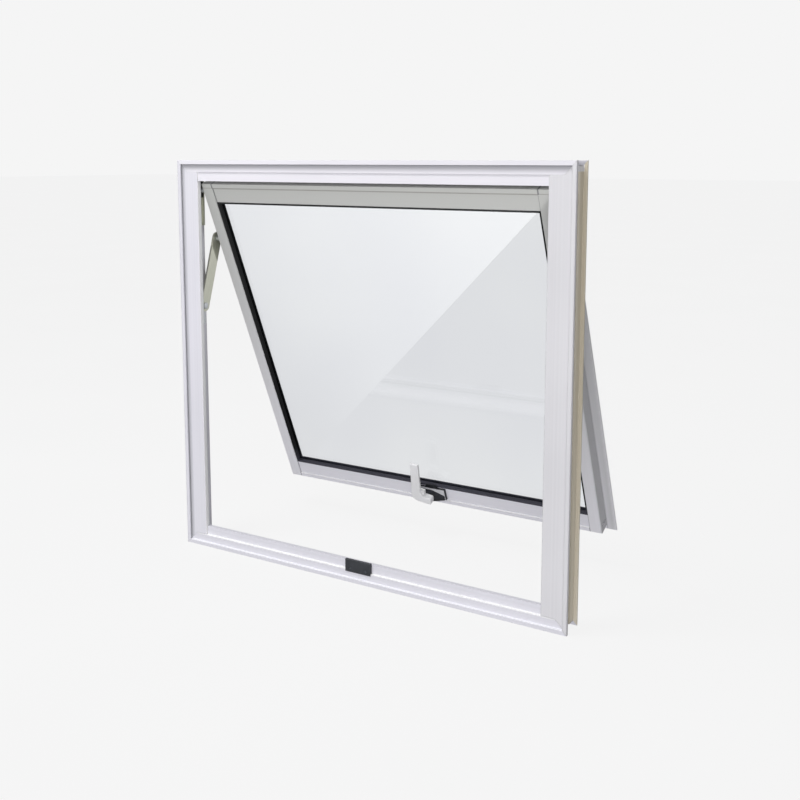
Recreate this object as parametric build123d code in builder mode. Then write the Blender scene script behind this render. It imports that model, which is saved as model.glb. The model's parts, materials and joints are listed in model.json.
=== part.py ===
"""Top-hung projecting window: a fixed outer frame and a glazed sash that swings out on two stay arms.

Frame of the model: X to the right as seen from indoors, Y from indoors to outdoors, Z up.
The origin is on the underside of the sill's front lip, midway along it and midway through its depth.
The sash is drawn shut, square to the frame, and each piece of it is then moved to the open rest pose.
"""
import math
import os

from build123d import *

# Outer frame, in millimetres
frame_width = 640.0
frame_height = 600.0
frame_depth = 38.0
frame_wall = 1.6
jamb_face = 37.0
rail_face = 31.0
lip_width = 6.0
lip_depth = 4.7
band_width = 17.5
band_setback = 3.0
stop_setback = 6.0
head_stop_setback = 4.2
stop_depth = 6.0
jamb_stop_depth = 6.6
channel_floor = 15.0
tube_drop = 5.7
tube_setback = 22.5
fixing_hole_radius = 2.6
fixing_hole_depth = 17.0
fixing_hole_low = 80.0
fixing_hole_pitch = 260.0
cleat_leg = 45.0

# Weather seals on the back of the stop
seal_width = 5.0
seal_height = 2.2
seal_inset = 6.0
head_seal_width = 3.4
seal_joint = 0.5
seal_round = 1.3

# Sash
side_gap = 20.5
top_gap = 2.3
bottom_gap = 12.0
sash_setback = 16.0
sash_depth = 21.8
sash_wall = 1.6
stile_face = 18.4
stile_tube = 9.0
rail_height = 30.0
rail_tube = 18.0
rail_lip = 7.0
rail_recess = 1.2
flange_thickness = 1.8
flange_side = 14.8
flange_bottom = 7.1

# Glazing
glass_thickness = 4.0
glass_setback = 7.0
glass_bite = 7.5
gasket_web = 1.2
gasket_sight = 3.0
gasket_nose = 0.6
gasket_back_leg = 3.0
gasket_play = 0.1
setting_block_length = 60.0
setting_block_at = 150.0

# Sash corner fastening
block_length = 24.0
corner_screw_radius = 1.9
corner_screw_head_radius = 3.4
corner_screw_head_height = 2.2
corner_screw_length = 24.0
corner_screw_in = 12.0
corner_screw_depths = (7.6, 15.4)
screw_play = 0.05
access_play = 0.3

# Stay linkage
rest_angle = 23.1
pivot_behind_tube = 4.0
shoe_pivot_drop = 14.3
sash_link = 82.0
arm_length = 108.0
arm_width = 18.2
arm_thickness = 3.0
arm_gap = 0.4
bracket_thickness = 3.0
bracket_width = 12.0
bracket_above = 11.0
bracket_below = 42.0
bracket_round = 3.6
pin_radius = 3.0
pin_play = 0.05
pin_head_radius = 5.0
pin_head_height = 1.0
pin_fit = 0.02
pivot_plate_thickness = 1.5
pivot_plate_width = 16.0
pivot_plate_above = 9.0
pivot_plate_below = 30.0
pivot_plate_round = 4.0
pivot_plate_screw_drops = (15.0, 25.0)
stud_shoulder = 3.6
bracket_screw_radius = 1.9
bracket_screw_head_radius = 3.2
bracket_screw_head_height = 1.6
bracket_screw_length = 10.0
bracket_screw_drops = (-32.0, 14.0, 31.5)

# Stay track and shoe
track_width = 16.0
track_height = 5.0
track_wall = 1.8
track_above = 14.0
track_below = 66.0
shoe_length = 24.0
shoe_side_play = 1.0
shoe_lift = 0.3
shoe_inset = 0.3
shoe_round = 2.1
shoe_boss_radius = 4.8
shoe_boss_length = 4.6
shoe_pin_radius = 2.5
shoe_pin_end_gap = 0.5
track_screw_radius = 1.7
track_screw_head_radius = 3.2
track_screw_head_height = 1.4
track_screw_length = 9.0
track_screw_drops = (44.5, 60.0)

# Handle
handle_rest_turn = 9.0
handle_x = -15.0
handle_up = 23.5
base_half_length = 25.7
base_height = 19.0
base_thickness = 4.0
base_below_sight = 1.0
neck_height = 7.0
neck_left = -10.0
neck_right = 14.0
neck_taper = 4.0
cover_thickness = 0.8
cover_margin = 1.0
wedge_thickness = 10.0
wedge_tip_thickness = 1.6
wedge_margin = 2.6
wedge_slope_from = 3.0
wedge_tip_height = 7.0
wedge_end = 1.6
washer_radius = 7.0
washer_thickness = 0.3
lever_gap = 0.6
lever_thickness = 10.5
blade_thickness = 3.8
blade_rise = 69.0
blade_left = 9.0
blade_right = 8.0
blade_taper = 1.7
hub_rise = 14.0
hub_right = 12.0
foot_half = 6.0
foot_reach = 25.5
foot_end_radius = 2.5
blade_end_radius = 1.0
heel_radius = 12.0
crook_radius = 8.0
lever_round = 1.5
handle_pin_radius = 3.0
handle_pin_depth = 6.5
handle_pin_end_gap = 0.4
handle_screw_radius = 1.9
handle_screw_head_radius = 3.4
handle_screw_head_height = 1.8
handle_screw_length = 14.0
handle_screw_at = 20.0
handle_screw_up = 3.8

# Striker on the sill
striker_length = 43.0
striker_low = 14.3
striker_above = 1.6
striker_proud = 0.9
striker_x = 1.0
striker_screw_at = 13.0
striker_screw_up = 5.6
striker_screw_radius = 1.4
striker_screw_head_radius = 2.3
striker_screw_head_height = 0.5
striker_screw_length = 7.0
striker_play = 0.1
striker_chamfer = 0.5

# How far the cutting shapes run past the faces that they cut
overshoot = 1.0

# Places worked out from the sizes above
front = -lip_depth / 2
half_width = frame_width / 2
inner_wall = channel_floor + frame_wall
wall_x = half_width - inner_wall
stop_back = stop_setback + stop_depth
jamb_stop_back = band_setback + jamb_stop_depth
tube_depth = frame_depth - tube_setback
sash_half = wall_x - side_gap
sash_top = frame_height - inner_wall - top_gap
sash_bottom = inner_wall + bottom_gap
stile_top = sash_top - rail_lip
sash_face = front + sash_setback
rail_half = sash_half - stile_face
tenon_half = sash_half - stile_tube
sight_half = rail_half
sight_top = sash_top - rail_height
sight_bottom = sash_bottom + rail_height
glass_half = sight_half + glass_bite
glass_top = sight_top + glass_bite
glass_bottom = sight_bottom - glass_bite
back_lip = glass_setback + glass_thickness + gasket_back_leg

pivot_y = front + tube_setback + pivot_behind_tube
shoe_z_shut = sash_top - shoe_pivot_drop
link_z_shut = shoe_z_shut - sash_link
anchor_z = link_z_shut - arm_length
arm_angle = math.degrees(math.asin(sash_link * math.sin(math.radians(rest_angle)) / arm_length))
shoe_z = (
    anchor_z
    + arm_length * math.cos(math.radians(arm_angle))
    + sash_link * math.cos(math.radians(rest_angle))
)
pivot_plate_face = wall_x - pivot_plate_thickness
arm_outer = pivot_plate_face - stud_shoulder - arm_gap
arm_inner = arm_outer - arm_thickness
bracket_outer = sash_half + bracket_thickness
track_floor = wall_x - track_wall
track_rim = wall_x - track_height
track_low = shoe_z_shut - track_below
track_high = shoe_z_shut + track_above
track_screw_spots = [shoe_z_shut - drop for drop in track_screw_drops]
plate_screw_spots = [anchor_z - drop for drop in pivot_plate_screw_drops]

handle_z = sash_bottom + handle_up
base_back = sash_face + rail_recess
base_front = base_back - base_thickness
cover_front = base_front - cover_thickness
wedge_front = cover_front - wedge_thickness
lever_back = wedge_front - lever_gap
lever_front = lever_back - lever_thickness
base_top = sight_bottom - base_below_sight
base_low = base_top - base_height
handle_screw_spots = (-handle_screw_at, handle_screw_at)
striker_screw_spots = (striker_x - striker_screw_at, striker_x + striker_screw_at)

SIDES = {"left": -1, "right": 1}

# Moves from the shut pose, in which the pieces are drawn, to the rest pose
sash_at_rest = (
    Location((0, pivot_y, shoe_z))
    * Location((0, 0, 0), (rest_angle, 0, 0))
    * Location((0, -pivot_y, -shoe_z_shut))
)
arm_at_rest = (
    Location((0, pivot_y, anchor_z))
    * Location((0, 0, 0), (-arm_angle, 0, 0))
    * Location((0, -pivot_y, -anchor_z))
)
shoe_at_rest = Location((0, 0, shoe_z - shoe_z_shut))
lever_turn = (
    Location((handle_x, 0, handle_z))
    * Location((0, 0, 0), (0, handle_rest_turn, 0))
    * Location((-handle_x, 0, -handle_z))
)


def strip(x0, y0, x1, y1, mode=Mode.ADD):
    """Draw a rectangle, from one corner to the other, in the sketch that is open."""
    with Locations(((x0 + x1) / 2, (y0 + y1) / 2)):
        Rectangle(abs(x1 - x0), abs(y1 - y0), mode=mode)


def brick(low, high, mode=Mode.ADD):
    """Add a block, from its lowest to its highest corner, to the part that is open."""
    with Locations(tuple((a + b) / 2 for a, b in zip(low, high))):
        Box(*(b - a for a, b in zip(low, high)), mode=mode)


def rod(radius, start, end, axis, mode=Mode.ADD):
    """Add a cylinder of the given radius from start along an axis, X or Y, to the coordinate end."""
    along = "XYZ".index(axis)
    direction = [0, 0, 0]
    direction[along] = 1 if end > start[along] else -1
    with BuildSketch(Plane(origin=start, z_dir=direction)) as section:
        Circle(radius)
    extrude(section.sketch, amount=abs(end - start[along]), mode=mode)


def save(piece, name, move=None):
    """Write a finished piece to its own file, at the rest pose."""
    placed = piece if move is None else piece.moved(move)
    placed.label = name
    export_step(placed, f"parts/{name}.step")


os.makedirs("parts", exist_ok=True)


# Outer frame members
def frame_profile(face, stop_front, stop_end):
    """Draw the frame's section: local X inwards from the outer edge, local Y from indoors to outdoors."""
    tube_back = frame_depth - frame_wall
    strip(0, 0, lip_width, lip_depth)
    strip(0, band_setback, band_width, lip_depth)
    strip(channel_floor, band_setback, band_width, stop_front + frame_wall)
    strip(channel_floor, band_setback, inner_wall, frame_depth)
    strip(channel_floor, stop_front, face, stop_end)
    strip(inner_wall, stop_front + frame_wall, face - frame_wall, stop_end - frame_wall, mode=Mode.SUBTRACT)
    strip(tube_drop, tube_setback, inner_wall, frame_depth)
    strip(tube_drop + frame_wall, tube_setback + frame_wall, channel_floor, tube_back, mode=Mode.SUBTRACT)
    strip(0, tube_back, tube_drop, frame_depth)


def keep_outline(points):
    """Keep only what lies inside an outline drawn in the plane of the window."""
    with BuildSketch(Plane.XZ) as outline:
        Polygon(*points, align=None)
    extrude(outline.sketch, amount=frame_depth * 2, both=True, mode=Mode.INTERSECT)


for name, side in SIDES.items():
    edge = side * half_width
    inward = -side
    start_z = 0 if side < 0 else frame_height
    with BuildPart() as jamb:
        with BuildSketch(Plane(origin=(edge, front, start_z), x_dir=(inward, 0, 0), z_dir=(0, 0, inward))):
            frame_profile(jamb_face, band_setback, jamb_stop_back)
        extrude(amount=frame_height)
        keep_outline([
            (edge, 0),
            (edge + inward * band_width, band_width),
            (edge + inward * (jamb_face + overshoot), band_width),
            (edge + inward * (jamb_face + overshoot), frame_height - band_width),
            (edge + inward * band_width, frame_height - band_width),
            (edge, frame_height),
        ])
        for count in range(2):
            hole_z = fixing_hole_low + count * fixing_hole_pitch
            hole_start = (edge, front + fixing_hole_depth, hole_z)
            rod(fixing_hole_radius, hole_start, side * (wall_x - overshoot), "X", mode=Mode.SUBTRACT)
        for level in track_screw_spots + plate_screw_spots:
            screw_start = (side * (wall_x - overshoot), pivot_y, level)
            hole_end = side * (wall_x + 2 * frame_wall)
            rod(track_screw_radius + screw_play, screw_start, hole_end, "X", mode=Mode.SUBTRACT)
    save(jamb.part, f"{name}_jamb")

for name, level, inward, stop_front in (("sill", 0, 1, stop_setback), ("head", frame_height, -1, head_stop_setback)):
    with BuildPart() as member:
        start = (inward * half_width, front, level)
        with BuildSketch(Plane(origin=start, x_dir=(0, 0, inward), z_dir=(-inward, 0, 0))):
            frame_profile(rail_face, stop_front, stop_back)
        extrude(amount=frame_width)
        half_outline = [
            (half_width, level),
            (half_width - band_width, level + inward * band_width),
            (half_width - jamb_face, level + inward * band_width),
            (half_width - jamb_face, level + inward * (rail_face + overshoot)),
        ]
        keep_outline(half_outline + [(-x, z) for x, z in reversed(half_outline)])
        if name == "sill":
            for screw_x in striker_screw_spots:
                screw_start = (screw_x, front, striker_low + striker_screw_up)
                rod(
                    striker_screw_radius + screw_play,
                    screw_start,
                    front + stop_setback + 2 * frame_wall,
                    "Y",
                    mode=Mode.SUBTRACT,
                )
    save(member.part, name)

# Corner cleats inside the frame's back tube
cleat_outer = tube_drop + frame_wall
with BuildPart() as cleats:
    for side in (-1, 1):
        for level, inward in ((0, 1), (frame_height, -1)):
            corner = [
                (cleat_outer, cleat_outer),
                (cleat_outer + cleat_leg, cleat_outer),
                (cleat_outer + cleat_leg, channel_floor),
                (channel_floor, channel_floor),
                (channel_floor, cleat_outer + cleat_leg),
                (cleat_outer, cleat_outer + cleat_leg),
            ]
            with BuildSketch(Plane.XZ.offset(-(front + frame_depth - frame_wall))):
                Polygon(*[(side * (half_width - r), level + inward * s) for r, s in corner], align=None)
            extrude(amount=tube_depth - 2 * frame_wall)
save(cleats.part, "frame_corner_cleats")


# Weather seals
def seal_run(low, high, seat):
    """Add one length of seal, a strip on the back of a stop with its outdoor edges rounded, between two corners."""
    brick((low[0], front + seat, low[1]), (high[0], front + seat + seal_height, high[1]))
    length_axis = Axis.X if high[0] - low[0] > high[1] - low[1] else Axis.Z
    fillet(faces().sort_by(Axis.Y)[-1].edges().filter_by(length_axis), seal_round)


for name, side in SIDES.items():
    near = half_width - jamb_face + seal_inset
    with BuildPart() as seal:
        reach = sorted((side * near, side * (near + seal_width)))
        seal_run((reach[0], rail_face), (reach[1], frame_height - rail_face), jamb_stop_back)
    save(seal.part, f"{name}_seal")

with BuildPart() as sill_seal:
    seal_end = half_width - jamb_face - seal_joint
    seal_run((-seal_end, rail_face - seal_inset - seal_width), (seal_end, rail_face - seal_inset), stop_back)
save(sill_seal.part, "sill_seal")

with BuildPart() as head_seal:
    seal_low = frame_height - band_width - head_seal_width
    seal_run((-seal_end, seal_low), (seal_end, frame_height - band_width), stop_back)
save(head_seal.part, "head_seal")

# Striker on the sill, stepped over the band below the stop
striker_front = front + band_setback - striker_proud
with BuildPart() as striker:
    striker_top = rail_face + striker_above
    striker_left = (striker_x - striker_length / 2, 0, 0)
    with BuildSketch(Plane(origin=striker_left, x_dir=(0, 1, 0), z_dir=(1, 0, 0))):
        strip(striker_front, striker_low, front + band_setback, striker_top)
        strip(front + band_setback, band_width + striker_play, front + stop_setback, striker_top)
    extrude(amount=striker_length)
    chamfer(faces().sort_by(Axis.Y)[0].edges(), striker_chamfer)
    for screw_x in striker_screw_spots:
        screw_start = (screw_x, striker_front - overshoot, striker_low + striker_screw_up)
        hole_end = front + stop_setback + overshoot
        rod(striker_screw_radius + screw_play, screw_start, hole_end, "Y", mode=Mode.SUBTRACT)
save(striker.part, "striker")

with BuildPart() as striker_screws:
    for screw_x in striker_screw_spots:
        seat = (screw_x, striker_front, striker_low + striker_screw_up)
        rod(striker_screw_head_radius, seat, striker_front - striker_screw_head_height, "Y")
        rod(striker_screw_radius, seat, striker_front + striker_screw_length, "Y")
save(striker_screws.part, "striker_screws")

# Stay tracks, the plates with the studs that the arms turn on, and their screws
for name, side in SIDES.items():
    with BuildPart() as track:
        foot = (side * wall_x, pivot_y, track_low)
        with BuildSketch(Plane(origin=foot, x_dir=(-side, 0, 0), z_dir=(0, 0, 1))):
            strip(0, -track_width / 2, track_height, track_width / 2)
            rim = track_width / 2 - track_wall
            strip(track_wall, -rim, track_height, rim, mode=Mode.SUBTRACT)
        extrude(amount=track_high - track_low)
        for level in track_screw_spots:
            screw_start = (side * (wall_x + overshoot), pivot_y, level)
            hole_end = side * (track_floor - overshoot)
            rod(track_screw_radius + screw_play, screw_start, hole_end, "X", mode=Mode.SUBTRACT)
    save(track.part, f"{name}_stay_track")

with BuildPart() as track_screws:
    for side in (-1, 1):
        seats = [(track_floor, level) for level in track_screw_spots]
        seats += [(pivot_plate_face, level) for level in plate_screw_spots]
        for seat_x, level in seats:
            seat = (side * seat_x, pivot_y, level)
            rod(track_screw_head_radius, seat, side * (seat_x - track_screw_head_height), "X")
            rod(track_screw_radius, seat, side * (seat_x + track_screw_length), "X")
save(track_screws.part, "stay_track_screws")

with BuildPart() as studs:
    for side in (-1, 1):
        reach = sorted((side * wall_x, side * pivot_plate_face))
        brick(
            (reach[0], pivot_y - pivot_plate_width / 2, anchor_z - pivot_plate_below),
            (reach[1], pivot_y + pivot_plate_width / 2, anchor_z + pivot_plate_above),
        )
    fillet(edges().filter_by(Axis.X), pivot_plate_round)
    for side in (-1, 1):
        for level in plate_screw_spots:
            screw_start = (side * (wall_x + overshoot), pivot_y, level)
            hole_end = side * (pivot_plate_face - overshoot)
            rod(track_screw_radius + screw_play, screw_start, hole_end, "X", mode=Mode.SUBTRACT)
        shoulder = pivot_plate_face - stud_shoulder
        head = arm_inner - arm_gap
        rod(pin_head_radius, (side * pivot_plate_face, pivot_y, anchor_z), side * shoulder, "X")
        rod(pin_radius, (side * shoulder, pivot_y, anchor_z), side * head, "X")
        rod(pin_head_radius, (side * head, pivot_y, anchor_z), side * (head - pin_head_height), "X")
save(studs.part, "arm_pivot_studs")

# Stay arms
for name, side in SIDES.items():
    with BuildPart() as arm:
        arm_middle = (side * arm_inner, pivot_y, anchor_z + arm_length / 2)
        with BuildSketch(Plane(origin=arm_middle, x_dir=(0, 0, 1), z_dir=(side, 0, 0))):
            SlotCenterToCenter(arm_length, arm_width)
            with Locations((-arm_length / 2, 0), (arm_length / 2, 0)):
                Circle(pin_radius + pin_play, mode=Mode.SUBTRACT)
        extrude(amount=arm_thickness)
    save(arm.part, f"{name}_stay_arm", arm_at_rest)

# Nylon shoes that slide in the tracks
for name, side in SIDES.items():
    with BuildPart() as shoe:
        shoe_half = track_width / 2 - track_wall - shoe_side_play
        shoe_floor = track_floor - shoe_lift
        shoe_face = track_rim + shoe_inset
        reach = sorted((side * shoe_face, side * shoe_floor))
        brick(
            (reach[0], pivot_y - shoe_half, shoe_z_shut - shoe_length / 2),
            (reach[1], pivot_y + shoe_half, shoe_z_shut + shoe_length / 2),
        )
        fillet(edges().filter_by(Axis.X), shoe_round)
        boss_end = shoe_face - shoe_boss_length
        rod(shoe_boss_radius, (side * shoe_face, pivot_y, shoe_z_shut), side * boss_end, "X")
        rod(
            shoe_pin_radius + pin_play,
            (side * boss_end, pivot_y, shoe_z_shut),
            side * (shoe_face + shoe_inset),
            "X",
            mode=Mode.SUBTRACT,
        )
    save(shoe.part, f"{name}_stay_shoe", shoe_at_rest)


# Sash members
def stile_profile():
    """Draw a stile's section: local X inwards from its outer side, local Y from indoors to outdoors."""
    strip(0, 0, stile_tube, sash_depth)
    strip(sash_wall, sash_wall, stile_tube - sash_wall, sash_depth - sash_wall, mode=Mode.SUBTRACT)
    strip(stile_tube, 0, stile_face, sash_wall)


def rail_profile():
    """Draw a rail's section: local X inwards from its outer edge, local Y from indoors to outdoors."""
    face_back = rail_recess + sash_wall
    strip(0, 0, rail_lip, sash_depth)
    strip(0, rail_recess, rail_tube, sash_depth)
    strip(sash_wall, face_back, rail_tube - sash_wall, sash_depth - sash_wall, mode=Mode.SUBTRACT)
    strip(rail_tube, rail_recess, rail_height, face_back)
    strip(rail_tube, back_lip, rail_height, back_lip + sash_wall)


def tenon_profile():
    """Draw the end of a rail's tube, where it runs behind the front wall of a stile."""
    strip(0, sash_wall, rail_tube, sash_depth)
    hollow_top = rail_tube - sash_wall
    strip(sash_wall, rail_recess + sash_wall, hollow_top, sash_depth - sash_wall, mode=Mode.SUBTRACT)


corner_screw_spots = [
    (level, sash_face + depth)
    for level in (sash_bottom + corner_screw_in, sash_top - corner_screw_in)
    for depth in corner_screw_depths
]
head_seat = sash_half - stile_tube + sash_wall
bracket_screw_spots = [link_z_shut - drop for drop in bracket_screw_drops]

for name, side in SIDES.items():
    edge = side * sash_half
    start_z = sash_bottom if side < 0 else stile_top
    with BuildPart() as stile:
        with BuildSketch(Plane(origin=(edge, sash_face, start_z), x_dir=(-side, 0, 0), z_dir=(0, 0, -side))):
            stile_profile()
        extrude(amount=stile_top - sash_bottom)
        lip_reach = sorted((edge - side * stile_tube, edge - side * stile_face))
        brick(
            (lip_reach[0], sash_face + back_lip, sash_bottom + rail_tube),
            (lip_reach[1], sash_face + back_lip + sash_wall, sash_top - rail_tube),
        )
        flange_reach = sorted((edge, edge + side * flange_side))
        brick(
            (flange_reach[0], sash_face + sash_depth - flange_thickness, sash_bottom - flange_bottom),
            (flange_reach[1], sash_face + sash_depth, stile_top),
        )
        for level, depth in corner_screw_spots:
            outside = (side * (sash_half + overshoot), depth, level)
            rod(corner_screw_head_radius + access_play, outside, side * head_seat, "X", mode=Mode.SUBTRACT)
            rod(corner_screw_radius + screw_play, outside, side * rail_half, "X", mode=Mode.SUBTRACT)
        for level in bracket_screw_spots:
            outside = (side * (sash_half + overshoot), pivot_y, level)
            hole_end = side * (sash_half - 2 * sash_wall)
            rod(bracket_screw_radius + screw_play, outside, hole_end, "X", mode=Mode.SUBTRACT)
    save(stile.part, f"{name}_stile", sash_at_rest)

with BuildPart() as top_rail:
    with BuildSketch(Plane(origin=(-rail_half, sash_face, sash_top), x_dir=(0, 0, -1), z_dir=(1, 0, 0))):
        rail_profile()
    extrude(amount=2 * rail_half)
    with BuildSketch(Plane(origin=(-tenon_half, sash_face, sash_top), x_dir=(0, 0, -1), z_dir=(1, 0, 0))):
        tenon_profile()
    extrude(amount=2 * tenon_half)
    for start in (-sash_half, tenon_half):
        with BuildSketch(Plane(origin=(start, sash_face, sash_top), x_dir=(0, 0, -1), z_dir=(1, 0, 0))):
            strip(0, 0, rail_lip, sash_depth)
            strip(sash_wall, sash_wall, rail_lip - sash_wall, sash_depth - sash_wall, mode=Mode.SUBTRACT)
        extrude(amount=stile_tube)
    brick((-tenon_half, sash_face, stile_top), (tenon_half, sash_face + sash_wall, sash_top))
save(top_rail.part, "top_rail", sash_at_rest)

with BuildPart() as bottom_rail:
    with BuildSketch(Plane(origin=(rail_half, sash_face, sash_bottom), x_dir=(0, 0, 1), z_dir=(-1, 0, 0))):
        rail_profile()
    extrude(amount=2 * rail_half)
    with BuildSketch(Plane(origin=(tenon_half, sash_face, sash_bottom), x_dir=(0, 0, 1), z_dir=(-1, 0, 0))):
        tenon_profile()
    extrude(amount=2 * tenon_half)
    brick(
        (-sash_half, sash_face + sash_depth - flange_thickness, sash_bottom - flange_bottom),
        (sash_half, sash_face + sash_depth, sash_bottom),
    )
    for screw_x in handle_screw_spots:
        outside = (screw_x, base_back - overshoot, base_low + handle_screw_up)
        rod(handle_screw_radius + screw_play, outside, base_back + 2 * sash_wall, "Y", mode=Mode.SUBTRACT)
save(bottom_rail.part, "bottom_rail", sash_at_rest)

# Corner blocks inside the rails, and the screws that pull the stiles onto them
with BuildPart() as corner_blocks:
    for side in (-1, 1):
        reach = sorted((side * tenon_half, side * (tenon_half - block_length)))
        block_front = sash_face + rail_recess + sash_wall
        block_back = sash_face + sash_depth - sash_wall
        for edge, inward in ((sash_bottom, 1), (sash_top, -1)):
            levels = sorted((edge + inward * sash_wall, edge + inward * (rail_tube - sash_wall)))
            brick((reach[0], block_front, levels[0]), (reach[1], block_back, levels[1]))
        for level, depth in corner_screw_spots:
            start = (side * (tenon_half + overshoot), depth, level)
            tip = side * (head_seat - corner_screw_length - overshoot)
            rod(corner_screw_radius + screw_play, start, tip, "X", mode=Mode.SUBTRACT)
save(corner_blocks.part, "sash_corner_blocks", sash_at_rest)

with BuildPart() as corner_screws:
    for side in (-1, 1):
        for level, depth in corner_screw_spots:
            seat = (side * head_seat, depth, level)
            rod(corner_screw_head_radius, seat, side * (head_seat + corner_screw_head_height), "X")
            rod(corner_screw_radius, seat, side * (head_seat - corner_screw_length), "X")
save(corner_screws.part, "sash_corner_screws", sash_at_rest)

# Glass, its gasket and the blocks that it sits on
glass_front = sash_face + glass_setback
with BuildPart() as glass:
    brick((-glass_half, glass_front, glass_bottom), (glass_half, glass_front + glass_thickness, glass_top))
save(glass.part, "glass_pane", sash_at_rest)


def ring(outset, depth_from, depth_to):
    """Add a rectangular ring from outset beyond the sight line to the gasket's inner edge."""
    brick(
        (-sight_half - outset, sash_face + depth_from, sight_bottom - outset),
        (sight_half + outset, sash_face + depth_to, sight_top + outset),
    )
    brick(
        (-sight_half + gasket_sight, sash_face + depth_from, sight_bottom + gasket_sight),
        (sight_half - gasket_sight, sash_face + depth_to, sight_top - gasket_sight),
        mode=Mode.SUBTRACT,
    )


with BuildPart() as gasket:
    ring(glass_bite + gasket_web, rail_recess + sash_wall, back_lip)
    ring(-gasket_play, gasket_nose, rail_recess + sash_wall)
    brick(
        (-glass_half, glass_front, glass_bottom),
        (glass_half, glass_front + glass_thickness, glass_top),
        mode=Mode.SUBTRACT,
    )
save(gasket.part, "glazing_gasket", sash_at_rest)

with BuildPart() as setting_blocks:
    for middle in (-setting_block_at, setting_block_at):
        brick(
            (middle - setting_block_length / 2, sash_face + rail_recess + sash_wall, sash_bottom + rail_tube),
            (middle + setting_block_length / 2, sash_face + back_lip, glass_bottom - gasket_web),
        )
save(setting_blocks.part, "setting_blocks", sash_at_rest)

# Stay brackets on the sash, with their screws and pins
for name, side in SIDES.items():
    with BuildPart() as bracket:
        bracket_high = shoe_z_shut + bracket_above
        bracket_low = link_z_shut - bracket_below
        reach = sorted((side * sash_half, side * bracket_outer))
        brick(
            (reach[0], pivot_y - bracket_width / 2, bracket_low),
            (reach[1], pivot_y + bracket_width / 2, bracket_high),
        )
        fillet(edges().filter_by(Axis.X), bracket_round)
        outer = side * (bracket_outer + overshoot)
        inner = side * (sash_half - overshoot)
        for level in bracket_screw_spots:
            rod(bracket_screw_radius + screw_play, (outer, pivot_y, level), inner, "X", mode=Mode.SUBTRACT)
        for level in (link_z_shut, shoe_z_shut):
            rod(pin_radius + pin_fit, (outer, pivot_y, level), inner, "X", mode=Mode.SUBTRACT)
    save(bracket.part, f"{name}_sash_bracket", sash_at_rest)

with BuildPart() as bracket_screws:
    for side in (-1, 1):
        for level in bracket_screw_spots:
            seat = (side * bracket_outer, pivot_y, level)
            rod(bracket_screw_head_radius, seat, side * (bracket_outer + bracket_screw_head_height), "X")
            rod(bracket_screw_radius, seat, side * (bracket_outer - bracket_screw_length), "X")
save(bracket_screws.part, "sash_bracket_screws", sash_at_rest)

with BuildPart() as stay_pins:
    for side in (-1, 1):
        shoulder = arm_inner - arm_gap
        head = arm_outer + arm_gap
        rod(pin_radius, (side * sash_half, pivot_y, link_z_shut), side * head, "X")
        rod(pin_head_radius, (side * bracket_outer, pivot_y, link_z_shut), side * shoulder, "X")
        rod(pin_head_radius, (side * head, pivot_y, link_z_shut), side * (head + pin_head_height), "X")
        collar = track_rim + shoe_inset - shoe_boss_length - arm_gap
        tip = track_rim + 2 * shoe_inset - shoe_pin_end_gap
        rod(pin_radius, (side * sash_half, pivot_y, shoe_z_shut), side * bracket_outer, "X")
        rod(pin_head_radius, (side * bracket_outer, pivot_y, shoe_z_shut), side * collar, "X")
        rod(shoe_pin_radius, (side * collar, pivot_y, shoe_z_shut), side * tip, "X")
save(stay_pins.part, "sash_stay_pins", sash_at_rest)

# Handle base, cover, wedge and their fastenings
handle_screw_z = base_low + handle_screw_up
with BuildPart() as handle_base:
    brick((-base_half_length, base_front, base_low), (base_half_length, base_back, base_top))
    with BuildSketch(Plane.XZ.offset(-(sash_face + gasket_nose - rail_recess))):
        Polygon(
            (neck_left, base_top),
            (neck_right, base_top),
            (neck_right - neck_taper, base_top + neck_height),
            (neck_left + neck_taper, base_top + neck_height),
            align=None,
        )
    extrude(amount=sash_face + gasket_nose - rail_recess - base_front)
    for screw_x in handle_screw_spots:
        start = (screw_x, base_front, handle_screw_z)
        head_seat = base_front + handle_screw_head_height
        rod(handle_screw_head_radius + screw_play, start, head_seat, "Y", mode=Mode.SUBTRACT)
        rod(handle_screw_radius + screw_play, start, base_back, "Y", mode=Mode.SUBTRACT)
    rod(handle_pin_radius + pin_fit, (handle_x, base_front, handle_z), base_back, "Y", mode=Mode.SUBTRACT)
save(handle_base.part, "handle_base", sash_at_rest)

with BuildPart() as handle_screws:
    for screw_x in handle_screw_spots:
        seat = (screw_x, base_front + handle_screw_head_height, handle_screw_z)
        rod(handle_screw_head_radius, seat, base_front, "Y")
        rod(handle_screw_radius, seat, base_front + handle_screw_length, "Y")
save(handle_screws.part, "handle_screws", sash_at_rest)

with BuildPart() as handle_cover:
    brick(
        (-base_half_length + cover_margin, cover_front, base_low + cover_margin),
        (base_half_length - cover_margin, base_front, base_top),
    )
    rod(handle_pin_radius + pin_fit, (handle_x, cover_front, handle_z), base_front, "Y", mode=Mode.SUBTRACT)
save(handle_cover.part, "handle_cover", sash_at_rest)

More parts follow.
